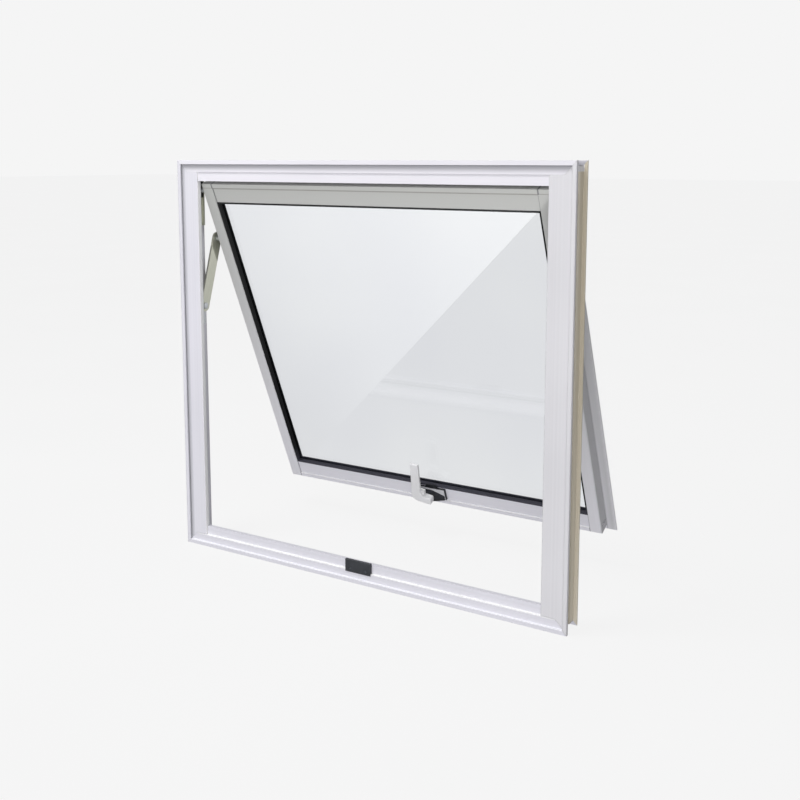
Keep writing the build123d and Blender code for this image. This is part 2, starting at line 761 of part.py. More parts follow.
wedge_right = base_half_length - wedge_end
with BuildPart() as wedge:
    wedge_low = base_low + cover_margin
    wedge_high = base_top - wedge_margin
    with BuildSketch(Plane.XZ.offset(-cover_front)):
        Polygon(
            (-wedge_right, wedge_low),
            (wedge_right, wedge_low),
            (wedge_right, wedge_low + wedge_tip_height),
            (wedge_slope_from, wedge_high),
            (-wedge_right, wedge_high),
            align=None,
        )
    extrude(amount=wedge_thickness)
    with BuildSketch(Plane.XY.offset(wedge_low - overshoot)):
        Polygon(
            (wedge_slope_from, wedge_front),
            (wedge_right + overshoot, cover_front - wedge_tip_thickness),
            (wedge_right + overshoot, wedge_front - overshoot),
            (wedge_slope_from, wedge_front - overshoot),
            align=None,
        )
    extrude(amount=base_height, mode=Mode.SUBTRACT)
    rod(handle_pin_radius + pin_fit, (handle_x, wedge_front, handle_z), cover_front, "Y", mode=Mode.SUBTRACT)
save(wedge.part, "handle_wedge", sash_at_rest)

with BuildPart() as handle_washer:
    rod(washer_radius, (handle_x, wedge_front, handle_z), wedge_front - washer_thickness, "Y")
    rod(
        handle_pin_radius + pin_fit,
        (handle_x, wedge_front, handle_z),
        wedge_front - washer_thickness,
        "Y",
        mode=Mode.SUBTRACT,
    )
save(handle_washer.part, "handle_washer", sash_at_rest)

with BuildPart() as handle_pin:
    rod(handle_pin_radius, (handle_x, base_back, handle_z), lever_back - handle_pin_depth, "Y")
save(handle_pin.part, "handle_pivot_pin", sash_at_rest)

# Lever: an upright blade with a foot that turns down in front of the striker
blade_back = lever_front + blade_thickness
with BuildPart() as lever:
    lever_plane = Plane(origin=(handle_x, lever_front, handle_z), x_dir=(1, 0, 0), z_dir=(0, -1, 0))
    with BuildSketch(lever_plane):
        with BuildLine():
            Polyline(
                (-blade_left, -foot_half),
                (foot_reach, -foot_half),
                (foot_reach, foot_half),
                (blade_right, foot_half),
                (blade_right - blade_taper, blade_rise),
                (-blade_left + blade_taper, blade_rise),
                close=True,
            )
        make_face()
        fillet(vertices().sort_by_distance((-blade_left, -foot_half))[0], heel_radius)
        fillet(vertices().sort_by_distance((blade_right, foot_half))[0], crook_radius)
        fillet(vertices().sort_by(Axis.X)[-2:], foot_end_radius)
        fillet(vertices().sort_by(Axis.Y)[-2:], blade_end_radius)
    extrude(amount=-blade_thickness)
    with BuildSketch(lever_plane.offset(-blade_thickness)):
        strip(-blade_left, -foot_half, foot_reach, foot_half)
        strip(-blade_left, -foot_half, hub_right, hub_rise)
        fillet(vertices().sort_by_distance((-blade_left, -foot_half))[0], heel_radius)
        fillet(vertices().sort_by(Axis.X)[-2:], foot_end_radius)
    extrude(amount=-(lever_thickness - blade_thickness))
    fillet(faces().sort_by(Axis.Y)[0].edges(), lever_round)
    pin_end = lever_back - handle_pin_depth - handle_pin_end_gap
    rod(handle_pin_radius + pin_play, (handle_x, lever_back, handle_z), pin_end, "Y", mode=Mode.SUBTRACT)
save(lever.part, "handle_lever", sash_at_rest * lever_turn)

# Places of the joints at rest
link_y = pivot_y + arm_length * math.sin(math.radians(arm_angle))
link_z = anchor_z + arm_length * math.cos(math.radians(arm_angle))
lever_at = (sash_at_rest * Location((handle_x, lever_back, handle_z))).position
print("arm angle at rest", round(arm_angle, 4), "sash angle at rest", rest_angle)
print("right arm anchor", (arm_inner, pivot_y, anchor_z))
print("right sash link", (arm_inner, link_y, link_z))
print("right shoe pivot", (track_rim, pivot_y, shoe_z))
print("lever pivot", tuple(lever_at))
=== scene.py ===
"""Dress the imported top-hung window: finishes for its solids, shaped rubber and screws, floor, light, camera.

Lengths are named in millimetres and turned to metres where a mesh, a light or the camera is made.
"""
import json
import math

import bmesh
import bpy
import numpy as np
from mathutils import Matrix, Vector


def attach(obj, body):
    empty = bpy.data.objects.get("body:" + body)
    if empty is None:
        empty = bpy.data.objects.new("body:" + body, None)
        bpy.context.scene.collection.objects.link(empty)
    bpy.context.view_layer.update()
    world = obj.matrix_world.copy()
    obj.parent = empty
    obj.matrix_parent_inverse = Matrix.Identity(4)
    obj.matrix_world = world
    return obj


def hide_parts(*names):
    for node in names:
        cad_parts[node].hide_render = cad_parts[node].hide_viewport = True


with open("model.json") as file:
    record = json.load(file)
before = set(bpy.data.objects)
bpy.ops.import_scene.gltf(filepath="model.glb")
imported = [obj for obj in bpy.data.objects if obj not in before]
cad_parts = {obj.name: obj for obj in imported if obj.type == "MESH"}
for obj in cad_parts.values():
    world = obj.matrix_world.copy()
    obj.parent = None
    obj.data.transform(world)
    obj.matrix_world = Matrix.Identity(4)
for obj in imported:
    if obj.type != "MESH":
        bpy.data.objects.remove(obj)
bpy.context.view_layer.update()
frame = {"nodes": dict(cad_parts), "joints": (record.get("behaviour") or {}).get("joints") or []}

MM = 0.001
SIDES = (-1, 1)
FLOOR_GLOW = 0.865
GLASS_INDEX = 1.52
CROSS_REACH = 0.62
CROSS_WIDTH = 0.3
joints = {joint["name"]: joint for joint in frame["joints"]}

# Outer frame, in millimetres, as in the part's source
frame_front = -2.35
frame_half = 320.0
frame_height = 600.0
lip_width = 6.0
jamb_face = 37.0
rail_face = 31.0
band_width = 17.5
stop_depth = 12.0
jamb_stop_depth = 9.6
stop_back = frame_front + stop_depth
jamb_stop_back = frame_front + jamb_stop_depth
seal_width = 5.0
seal_inset = 6.0
head_seal_width = 3.4
seal_height = 2.2
seal_joint = 0.5
track_floor = 301.6
plate_face = 301.9
stay_y = 24.15
anchor_z = 376.8
track_screw_levels = (506.8, 522.3)
plate_screw_levels = (351.8, 361.8)
arm_inner = 294.9
rivet_lift = 1.4
striker_front = -0.25
striker_screw_x = (-12.0, 14.0)
striker_screw_z = 19.9
arm_lean = math.radians(-17.33)

# Sash, measured in its own plane from the line of its two shoe pivots
sash_half = 282.9
sash_up = 14.3
sash_down = -538.2
sash_face = -10.5
stile_face = 18.4
rail_height = 30.0
sight_half = sash_half - stile_face
sight_up = sash_up - rail_height
sight_down = sash_down + rail_height
bracket_thickness = 3.0
bracket_outer = sash_half + bracket_thickness
bracket_screw_ups = (-50.0, -96.0, -113.5)
corner_seat = 275.5
corner_screw_in = 12.0
corner_screw_depths = (7.6, 15.4)

sash_axis = joints["handle_turn"]["axis"]
sash_tilt = math.atan2(sash_axis[2], sash_axis[1])
sash_pivot = np.array(joints["left_shoe_tilt"]["pos_m"]) / MM


def on_sash(points):
    """Place points of the sash, given as (across, outwards, up its plane) from the line of the shoe pivots.

    The outward and upward axes are turned about X by the sash's tilt, and the origin is moved to that line.
    """
    across, out, up = np.moveaxis(np.asarray(points, float), -1, 0)
    cosine, sine = math.cos(sash_tilt), math.sin(sash_tilt)
    depth = sash_pivot[1] + out * cosine - up * sine
    height = sash_pivot[2] + out * sine + up * cosine
    return np.stack([across, depth, height], axis=-1)


# Meshes
def grid_faces(rows, columns, wrap_rows=False, wrap_columns=False):
    """Give the four-cornered faces of a grid of points, joined end to end where it wraps."""
    row = np.arange(rows if wrap_rows else rows - 1)
    column = np.arange(columns if wrap_columns else columns - 1)
    r, c = (a.ravel() for a in np.meshgrid(row, column, indexing="ij"))
    r_next = (r + 1) % rows
    c_next = (c + 1) % columns
    corners = [r * columns + c, r * columns + c_next, r_next * columns + c_next, r_next * columns + c]
    return np.stack(corners, axis=1).tolist()


def face_outwards(mesh):
    """Turn each closed shell's faces outwards, because a piece and its mirror image wind opposite ways."""
    shape = bmesh.new()
    shape.from_mesh(mesh)
    bmesh.ops.recalc_face_normals(shape, faces=shape.faces)
    shape.to_mesh(mesh)
    shape.free()


def make_piece(name, shells, material, body, sharp=35.0):
    """Make one object of several shells, each its points in millimetres and its faces, and set its body."""
    points, faces, start = [], [], 0
    for shell_points, shell_faces in shells:
        points.append(np.asarray(shell_points, float).reshape(-1, 3) * MM)
        faces += [[corner + start for corner in face] for face in shell_faces]
        start += len(points[-1])
    mesh = bpy.data.meshes.new(name)
    mesh.from_pydata(np.concatenate(points).tolist(), [], faces)
    face_outwards(mesh)
    mesh.shade_smooth()
    mesh.set_sharp_from_angle(angle=math.radians(sharp))
    mesh.materials.append(material)
    piece = bpy.data.objects.new(name, mesh)
    bpy.context.scene.collection.objects.link(piece)
    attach(piece, body)
    return piece


def arc(centre, radius, start, end, steps=6):
    """Give points of an arc about centre, from one angle to another in degrees."""
    angles = np.radians(np.linspace(start, end, steps))
    return np.stack([centre[0] + radius * np.cos(angles), centre[1] + radius * np.sin(angles)], axis=1)


def closed_outline(*runs):
    """Join runs of points to one closed outline, and keep a point that two runs share once."""
    points = np.concatenate(runs)
    step = np.linalg.norm(points - np.roll(points, 1, axis=0), axis=1)
    return points[step > 1e-6]


def end_caps(count, rings):
    """Give the two flat faces that close the first and the last of several rings of points."""
    last = (rings - 1) * count
    return [list(range(count))[::-1], list(range(last, last + count))]


def mitred_ring(outline):
    """Carry an outline of (outset, depth) points round the sash's sight line, mitred at its four corners.

    At each corner the outset moves a point both across and up or down, so the sides meet on the diagonals.
    """
    outset, depth = np.asarray(outline).T
    sides = np.array([(-1, -1), (1, -1), (1, 1), (-1, 1)])
    level = np.where(sides[:, 1] > 0, sight_up, sight_down)
    across = sides[:, :1] * (sight_half + outset)
    up = level[:, None] + sides[:, 1:] * outset
    out = np.broadcast_to(sash_face + depth, across.shape)
    points = on_sash(np.stack([across, out, up], axis=-1))
    return points, grid_faces(4, len(outset), wrap_rows=True, wrap_columns=True)


def straight_bar(outline, place, low, high):
    """Carry an outline of (width, height) points along a straight length, with flat ends.

    place turns an array of width, height and length to points.
    """
    width, height = np.asarray(outline).T
    count = len(width)
    length = np.array([low, high])[:, None] + np.zeros(count)
    points = place(np.broadcast_to(width, length.shape), np.broadcast_to(height, length.shape), length)
    faces = grid_faces(2, count, wrap_columns=True) + end_caps(count, 2)
    return points, faces


def turned(profile, seat, direction, cross_depth=0.0, cross_reach=0.0, cross_width=0.0, steps=48):
    """Turn a profile of (radius, height) points about an axis at seat, with a cross pressed into its top.

    The cross lowers a point within its reach by cross_depth times how far inside either arm's width it is.
    """
    radius, height = np.asarray(profile, float).T
    angle = np.linspace(0, 2 * math.pi, steps, endpoint=False)
    a = radius[:, None] * np.cos(angle)
    b = radius[:, None] * np.sin(angle)
    rise = height[:, None] + np.zeros(steps)
    if cross_depth:
        arm = np.clip(2 - 2 * np.minimum(abs(a), abs(b)) / cross_width, 0, 1)
        end = np.clip(4 - 4 * np.maximum(abs(a), abs(b)) / cross_reach, 0, 1)
        rise = rise - cross_depth * arm * end * (height[:, None] > 0)
    axis = np.array(direction, float)
    first = np.roll(np.abs(axis), 1)
    second = np.cross(axis, first)
    points = np.asarray(seat) + a[..., None] * first + b[..., None] * second + rise[..., None] * axis
    faces = grid_faces(len(radius), steps, wrap_columns=True) + end_caps(steps, len(radius))
    return points, faces


def pan_head(radius, height, shank, length):
    """Give the profile of a screw from the middle of its domed head, over the rim, to the tip of its shank.

    The dome is height times the root of one less three quarters of the squared share of the radius.
    """
    share = np.concatenate([np.linspace(0.01, 0.6, 14), np.linspace(0.65, 1.0, 8)])
    dome = np.stack([radius * share, height * np.sqrt(1 - 0.75 * share**2)], axis=1)
    tip = [(radius, 0), (shank, 0), (shank, -length + shank), (0.01, -length)]
    return np.concatenate([dome, tip])


def rivet_dome(radius, height):
    """Give the profile of a low dome with a flat seat.

    Its height is the middle's height times the root of one less the squared share of the radius.
    """
    share = np.linspace(0.01, 1.0, 12)
    return np.stack([radius * share, height * np.sqrt(1 - share**2)], axis=1)


# Materials
def linear(hex_colour):
    """Turn an sRGB hex colour to linear red, green and blue, with a full alpha."""
    srgb = np.array([int(hex_colour[i:i + 2], 16) for i in (1, 3, 5)]) / 255
    value = np.where(srgb <= 0.04045, srgb / 12.92, ((srgb + 0.055) / 1.055) ** 2.4)
    return (*value.tolist(), 1.0)


def add(tree, kind, inputs=None, **settings):
    """Add a node to a tree: set its properties, then give each input a value or link it to a socket."""
    made = tree.nodes.new("ShaderNode" + kind)
    for name, value in settings.items():
        setattr(made, name, value)
    for name, value in (inputs or {}).items():
        if isinstance(value, bpy.types.NodeSocket):
            tree.links.new(value, made.inputs[name])
        else:
            made.inputs[name].default_value = value
    return made


def new_material(name):
    """Give an empty material, its node tree and its output node."""
    material = bpy.data.materials.new(name)
    material.use_nodes = True
    material.node_tree.nodes.clear()
    return material, material.node_tree, add(material.node_tree, "OutputMaterial")


def cells(tree, size, turn=0.0):
    """Give Object coordinates turned about X, counted in cells of a size in millimetres along each axis."""
    place = add(tree, "TexCoord").outputs["Object"]
    level = add(tree, "Mapping", {"Vector": place, "Rotation": (-turn, 0, 0)}).outputs["Vector"]
    scale = tuple(1 / (MM * s) for s in size)
    return add(tree, "Mapping", {"Vector": level, "Scale": scale}).outputs["Vector"]


def blotch(tree, size, turn=0.0, detail=1.0):
    """Give a noise from 0 to 1 with blotches of a size in millimetres along each axis."""
    noise = add(tree, "TexNoise", {"Vector": cells(tree, size, turn), "Scale": 1.0, "Detail": detail})
    return noise.outputs["Fac"]


def two_tone(tree, share, low, high, dark, light):
    """Mix two hex colours, from dark where share is low to light where it is high."""
    spread = add(tree, "MapRange", {"Value": share, "From Min": low, "From Max": high}).outputs["Result"]
    return add(tree, "Mix", {0: spread, 6: linear(dark), 7: linear(light)}, data_type="RGBA").outputs[2]


def satin(tree, output, colour, roughness, grain, height, edge_radius, **more):
    """Finish a material with a Principled shader, a fine bump of a height in millimetres and eased edges."""
    edge = add(tree, "Bevel", {"Radius": edge_radius * MM}, samples=4).outputs["Normal"]
    relief = {"Height": grain, "Strength": 1.0, "Distance": height * MM, "Normal": edge}
    bump = add(tree, "Bump", relief).outputs["Normal"]
    look = {"Base Color": colour, "Roughness": roughness, "Normal": bump, **more}
    shader = add(tree, "BsdfPrincipled", look)
    tree.links.new(shader.outputs["BSDF"], output.inputs["Surface"])


def along(axis, length, width):
    """Give a cell that is long on one axis and narrow on the others."""
    return [length if letter == axis else width for letter in "XYZ"]


def banded(tree, colour, bands):
    """Blend bands of another tone into a colour, to match the shade that the photo shows there.

    Each band is an axis, its middle and reach in millimetres, its tone at the middle, and the depth that it
    starts behind.
    """
    place = add(tree, "SeparateXYZ", {"Vector": cells(tree, [1.0] * 3)}).outputs
    for letter, middle, reach, tone, start in bands:
        off = add(tree, "Math", {0: place[letter], 1: middle}, operation="SUBTRACT").outputs["Value"]
        away = add(tree, "Math", {0: off}, operation="ABSOLUTE").outputs["Value"]
        near = add(tree, "MapRange", {"Value": away, "From Min": reach, "From Max": 0.0}).outputs["Result"]
        back = add(tree, "Math", {0: place["Y"], 1: start}, operation="GREATER_THAN").outputs["Value"]
        share = add(tree, "Math", {0: near, 1: back}, operation="MULTIPLY").outputs["Value"]
        tinted = {0: share, 6: colour, 7: linear(tone)}
        colour = add(tree, "Mix", tinted, data_type="RGBA").outputs[2]
    return colour


def powder_coat(name, dark, light, axis, turn=0.0, wall_tones=None, edge=0.5, bands=()):
    """Polyester powder coat on extruded aluminium, baked to a satin film.

    The eye sees an even white, the die's faint lines along the extrusion and soft highlights on eased edges.
    Its orange peel is about 0.6 mm wide and is drawn at 2 mm, so that it shows. Where wall_tones gives two
    tones, the side towards the wall is beige in stripes along the jamb, but white between the lips next to
    the head.
    """
    material, tree, output = new_material(name)
    lines = blotch(tree, along(axis, 900.0, 3.0), turn, 2.0)
    patches = blotch(tree, [140.0] * 3)
    both = add(tree, "Math", {0: lines, 1: patches}, operation="ADD").outputs["Value"]
    colour = two_tone(tree, both, 0.7, 1.3, dark, light)
    # Painted shade and painted highlights in bands, where bands are given
    colour = banded(tree, colour, bands)
    if wall_tones:
        place = add(tree, "SeparateXYZ", {"Vector": cells(tree, [1.0] * 3)}).outputs
        side = add(tree, "Math", {0: place["X"]}, operation="ABSOLUTE").outputs["Value"]
        outside = add(tree, "Math", {0: side, 1: beige_inner}, operation="GREATER_THAN").outputs["Value"]
        behind = add(tree, "Math", {0: place["Y"], 1: beige_front}, operation="GREATER_THAN").outputs["Value"]
        wall_side = add(tree, "Math", {0: outside, 1: behind}, operation="MULTIPLY").outputs["Value"]
        low = add(tree, "Math", {0: place["Z"], 1: beige_top}, operation="LESS_THAN").outputs["Value"]
        rim = add(tree, "Math", {0: side, 1: beige_rim}, operation="GREATER_THAN").outputs["Value"]
        kept = add(tree, "Math", {0: low, 1: rim}, operation="MAXIMUM").outputs["Value"]
        hidden = add(tree, "Math", {0: wall_side, 1: kept}, operation="MULTIPLY").outputs["Value"]
        # The wall side's beige tones, in stripes along the jamb
        film = two_tone(tree, blotch(tree, [40.0, 5.0, 900.0]), 0.35, 0.65, *wall_tones)
        colour = add(tree, "Mix", {0: hidden, 6: colour, 7: film}, data_type="RGBA").outputs[2]
    satin(tree, output, colour, 0.38, blotch(tree, [2.0] * 3), 0.004, edge, IOR=1.5)
    return material


def mill_aluminium(name):
    """Extruded aluminium as it leaves the die, cut to cleats and blocks: grey metal with fine lines."""
    material, tree, output = new_material(name)
    lines = blotch(tree, along("Y", 60.0, 0.8))
    colour = two_tone(tree, lines, 0.3, 0.7, "#A9ABAD", "#C4C6C8")
    satin(tree, output, colour, 0.42, lines, 0.01, 0.3, Metallic=1.0)
    return material


def stay_steel(name, turn):
    """Stainless steel strip, brushed along its length: warm grey metal with a broad highlight."""
    material, tree, output = new_material(name)
    brush = blotch(tree, along("Z", 40.0, 0.5), turn, 3.0)
    colour = two_tone(tree, brush, 0.3, 0.7, "#BEBFB1", "#D2D3C5")
    satin(tree, output, colour, 0.46, brush, 0.004, 0.4, Metallic=0.75)
    return material


def zinc_plate(name, dark, light):
    """Zinc-plated steel screws, pins and rivets: blue-grey or blacked metal with small cloudy patches."""
    material, tree, output = new_material(name)
    cloud = blotch(tree, [1.5] * 3, detail=3.0)
    colour = two_tone(tree, cloud, 0.3, 0.7, dark, light)
    satin(tree, output, colour, 0.32, cloud, 0.004, 0.15, Metallic=1.0)
    return material


def rubber(name, dark, light, bands=()):
    """Extruded EPDM rubber: near black and dull, with a bloom of paler patches."""
    material, tree, output = new_material(name)
    bloom = blotch(tree, [9.0] * 3, detail=4.0)
    colour = banded(tree, two_tone(tree, bloom, 0.35, 0.75, dark, light), bands)
    satin(tree, output, colour, 0.62, blotch(tree, [0.9] * 3), 0.01, 0.2, IOR=1.36)
    return material


def moulded_plastic(name, dark, light, roughness=0.48):
    """Nylon, ABS or polypropylene moulded in a spark-eroded tool: a dull skin with a fine even texture.

    The texture is about 0.15 mm wide and is drawn at 0.7 mm, so that it shows.
    """
    material, tree, output = new_material(name)
    skin = blotch(tree, [0.7] * 3, detail=2.0)
    colour = two_tone(tree, blotch(tree, [12.0] * 3, detail=2.0), 0.3, 0.7, dark, light)
    satin(tree, output, colour, roughness, skin, 0.02, 0.35, IOR=1.53)
    return material


def lever_enamel(name):
    """Stoved enamel over die-cast zinc: smooth white with a clear gloss and soft edges."""
    material, tree, output = new_material(name)
    colour = two_tone(tree, blotch(tree, [25.0] * 3), 0.3, 0.7, "#F4F4F4", "#FAFAFB")
    more = {"IOR": 1.5, "Coat Weight": 0.25, "Coat Roughness": 0.12}
    satin(tree, output, colour, 0.34, blotch(tree, [1.6] * 3), 0.004, 0.5, **more)
    return material


def float_glass(name):
    """Float glass 4 mm thick: clear with a grey cast, sharp reflections that grow towards a glancing view.

    Each face lets the tint through once, so the pane takes it twice. The slight shift of what is seen
    through so thin a pane is left out.
    """
    material, tree, output = new_material(name)
    haze = blotch(tree, [220.0] * 3)
    tint = two_tone(tree, haze, 0.3, 0.7, "#F5F6F8", "#F8F9FA")
    through = add(tree, "BsdfTransparent", {"Color": tint})
    mirror = add(tree, "BsdfGlossy", {"Color": (1, 1, 1, 1), "Roughness": 0.02})
    inner_face = add(tree, "NewGeometry").outputs["Backfacing"]
    index = {"Value": inner_face, "To Min": GLASS_INDEX, "To Max": 1 / GLASS_INDEX}
    outer_index = add(tree, "MapRange", index)
    share = add(tree, "Fresnel", {"IOR": outer_index.outputs["Result"]})
    both = add(
        tree, "MixShader", {0: share.outputs["Fac"], 1: through.outputs["BSDF"], 2: mirror.outputs["BSDF"]}
    )
    tree.links.new(both.outputs["Shader"], output.inputs["Surface"])
    return material


def plain_floor(name):
    """Translucent studio table lit from below: a pale glow, faintly mottled, that shadows only tint."""
    material, tree, output = new_material(name)
    colour = two_tone(tree, blotch(tree, [400.0] * 3), 0.3, 0.7, "#434343", "#474747")
    look = {"Base Color": colour, "Roughness": 0.9, "Specular IOR Level": 0.0}
    glow = {"Emission Color": (1.0, 1.0, 1.0, 1.0), "Emission Strength": FLOOR_GLOW}
    shader = add(tree, "BsdfPrincipled", {**look, **glow})
    tree.links.new(shader.outputs["BSDF"], output.inputs["Surface"])
    return material


# Where the beige of the wall side lies: outside this X, behind this depth, and either below this height or
# past this rim
beige_inner = 304.2
beige_front = 2.2
beige_top = 586.5
beige_rim = 315.5
beige_tones = ("#D0C7B3", "#E6DFCF")

# Bands of painted shade and painted highlight: a painted grey shade line behind the frame's lips, painted
# highlights on bright edges, the upper sash and right flange greyer with painted shade, a painted shade line
# at the groove and a painted highlight on the ledge of the sash's rails, their dark joints, and the bottom
# run of the gasket greyer with painted light
all_depths = -100.0
behind_lip = -1.0
joint_spots = [side * sight_half for side in SIDES]
rail_edge = 7.0
groove_place = (0.0, sash_face, sash_up - rail_edge)
ledge_place = (0.0, sash_face, sash_down + rail_edge)
gasket_place = (0.0, sash_face, sight_down)
groove_z, ledge_z, gasket_z = on_sash([groove_place, ledge_place, gasket_place])[:, 2]
sash_top_z = 580.0
flange_middle = 292.0
flange_root = 283.0
# Painted shade beside the left jamb's lip, and a painted highlight on its inner edge
jamb_painted_light = [
    ("X", lip_width - frame_half, 7.0, "#A8A8AD", behind_lip),
    ("X", jamb_face - frame_half, 1.2, "#FFFFFF", all_depths),
]
# Painted shadow under the head's lip
head_painted_shadow = [("Z", frame_height - lip_width, 10.0, "#A7A6AC", behind_lip)]
# Painted highlights on the sill's two ledges
sill_painted_highlights = [("Z", band_width, 1.7, "#FFFFFF", all_depths), ("Z", lip_width, 1.5, "#FAFAFF", all_depths)]
# Painted shade that makes the sash greyer towards its top, under the head
top_painted_shade = [("Z", sash_top_z, 480.0, "#C2C3BE", all_depths)]
# Painted shade on the sash's right flange, darkest at its root
flange_painted_shade = [
    ("X", flange_middle, 9.0, "#D4D4D6", all_depths),
    ("X", flange_root, 2.5, "#BCBCBE", all_depths),
]
# A painted shade line at the top rail's groove and a painted highlight on the bottom rail's ledge, then dark
# joints at the rails' ends
rail_painted_light_and_joints = [("Z", groove_z, 1.3, "#93908B", all_depths), ("Z", ledge_z, 1.4, "#FFFFFF", all_depths)]
rail_painted_light_and_joints += [("X", spot, 1.7, "#55555A", all_depths) for spot in joint_spots]
# Painted light: the bottom run of the gasket greyer than the rest
gasket_painted_light = [("Z", gasket_z, 30.0, "#44444E", all_depths)]

jamb_edge = 2.4
jamb_beige_side = {"wall_tones": beige_tones, "edge": jamb_edge}
stile_painted_shade = top_painted_shade + flange_painted_shade
crossrail_painted_light_and_joints = top_painted_shade + rail_painted_light_and_joints
# One white paint: its lighter head tone is painted light, its darker sill and right jamb tones painted shade
white_jamb = powder_coat("powder_coat_jamb", "#E2E1E8", "#E9E8EF", "Z", bands=jamb_painted_light, **jamb_beige_side)
shaded_right_jamb = powder_coat("powder_coat_right_jamb", "#DEDDE0", "#E5E4E7", "Z", **jamb_beige_side)
white_head = powder_coat("powder_coat_head", "#ECEAF0", "#F2F0F6", "X", bands=head_painted_shadow)
white_sill = powder_coat("powder_coat_sill", "#E0DFE6", "#E7E6ED", "X", bands=sill_painted_highlights)
sash_stile = powder_coat("powder_coat_stile", "#ECEBF0", "#F2F1F6", "Z", sash_tilt, bands=stile_painted_shade)
sash_rail = powder_coat("powder_coat_sash_rail", "#EBEAF1", "#F2F1F8", "X", sash_tilt, bands=crossrail_painted_light_and_joints)
bare_aluminium = mill_aluminium("mill_aluminium")
steel_upright = stay_steel("brushed_stainless_track", 0.0)
steel_arm = stay_steel("brushed_stainless_arm", arm_lean)
steel_sash = stay_steel("brushed_stainless_bracket", sash_tilt)
zinc = zinc_plate("zinc_plated_steel", "#A4A8AC", "#CBCED1")
black_zinc = zinc_plate("black_zinc_steel", "#45474C", "#6A6C72")
seal_rubber = rubber("epdm_seal", "#1B1C1E", "#2A2B2E")
gasket_rubber = rubber("epdm_gasket", "#08090B", "#0F1013", gasket_painted_light)
shoe_nylon = moulded_plastic("nylon_shoe", "#3A3B3E", "#46474B")
handle_black = moulded_plastic("nylon_handle_black", "#15161A", "#22242B")
striker_black = moulded_plastic("nylon_striker_charcoal", "#2B2D32", "#393B41")
setting_plastic = moulded_plastic("polypropylene_block", "#1E1F21", "#2A2B2E")
cover_grey = moulded_plastic("abs_cover_grey", "#D6D6D9", "#E2E2E5", 0.4)
enamel = lever_enamel("enamel_lever_white")
glass = float_glass("float_glass")

finishes = {
    "left_jamb": white_jamb, "right_jamb": shaded_right_jamb, "head": white_head, "sill": white_sill,
    "left_stile": sash_stile, "right_stile": sash_stile, "top_rail": sash_rail, "bottom_rail": sash_rail,
    "frame_corner_cleats": bare_aluminium, "sash_corner_blocks": bare_aluminium,
    "left_stay_track": steel_upright, "right_stay_track": steel_upright,
    "left_stay_arm": steel_arm, "right_stay_arm": steel_arm,
    "left_sash_bracket": steel_sash, "right_sash_bracket": steel_sash,
    "arm_pivot_studs": zinc, "sash_stay_pins": zinc, "handle_pivot_pin": zinc, "handle_washer": zinc,
    "handle_screws": zinc, "left_stay_shoe": shoe_nylon, "right_stay_shoe": shoe_nylon,
    "glass_pane": glass, "setting_blocks": setting_plastic, "handle_base": handle_black,
    "handle_wedge": handle_black, "handle_cover": cover_grey, "handle_lever": enamel,
    "striker": striker_black,
}
for node, material in finishes.items():
    for slot in frame["nodes"][node].material_slots:
        slot.material = material

# Glazing gasket: a channel round the pane's edge, with a rounded nose and a groove on its inner side
gasket_outline = closed_outline(
    [(-0.1, 2.8)],
    arc((-0.6, 1.1), 0.5, 0, -90),
    arc((-2.0, 1.6), 1.0, -90, -180),
    [(-3.0, 2.6), (-2.5, 3.2), (-2.5, 4.2), (-3.0, 4.8), (-3.0, 6.98), (7.48, 6.98), (7.48, 11.02)],
    [(-3.0, 11.02)],
    arc((-2.0, 13.0), 1.0, 180, 90),
    [(8.7, 14.0), (8.7, 2.8)],
)
gasket_ring = mitred_ring(gasket_outline)
gasket = make_piece("glazing_gasket_channel", [gasket_ring], gasket_rubber, "sash")
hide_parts("glazing_gasket")


# Weather seals: a flat foot and a round bulb on the back of the stop
def bulb_outline(width):
    """Give a bulb seal's outline: a foot half a millimetre thick, and half a circle standing on it."""
    foot = 0.5
    bulb = seal_height - foot
    half_round = arc((width / 2, foot), bulb, 0, 180, 14)
    return closed_outline([(0, 0), (width, 0), (width, foot)], half_round, [(0, foot)])


def seal_piece(name, outline, place, low, high):
    """Make one weather seal in place of its plain strip."""
    bar = straight_bar(outline, place, low, high)
    piece = make_piece(name + "_bulb", [bar], seal_rubber, "frame")
    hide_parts(name)


side_seal_inner = frame_half - jamb_face + seal_inset
seal_end = frame_half - jamb_face - seal_joint
for side, name in zip(SIDES, ("left_seal", "right_seal")):
    seal_piece(
        name,
        bulb_outline(seal_width),
        lambda w, h, l, side=side: np.stack([side * (side_seal_inner + w), jamb_stop_back + h, l], axis=-1),
        rail_face,
        frame_height - rail_face,
    )
for name, width, level in (
    ("sill_seal", seal_width, rail_face - seal_inset - seal_width),
    ("head_seal", head_seal_width, frame_height - band_width - head_seal_width),
):
    seal_piece(
        name,
        bulb_outline(width),
        lambda w, h, l, level=level: np.stack([l, stop_back + h, level + w], axis=-1),
        -seal_end,
        seal_end,
    )


# Screws with domed, cross-slotted heads
def screw_group(name, head, shank, cross_depth, seats, body, finish=zinc):
    """Make a group of equal screws in place of their plain ones.

    head and shank are each a radius and a length, and seats pairs each seat with its direction.
    """
    profile = pan_head(*head, *shank)
    cross = (cross_depth, CROSS_REACH * head[0], CROSS_WIDTH * head[0])
    shells = [turned(profile, seat, direction, *cross) for seat, direction in seats]
    piece = make_piece(name + "_cross_slotted", shells, finish, body, sharp=50.0)
    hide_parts(name)


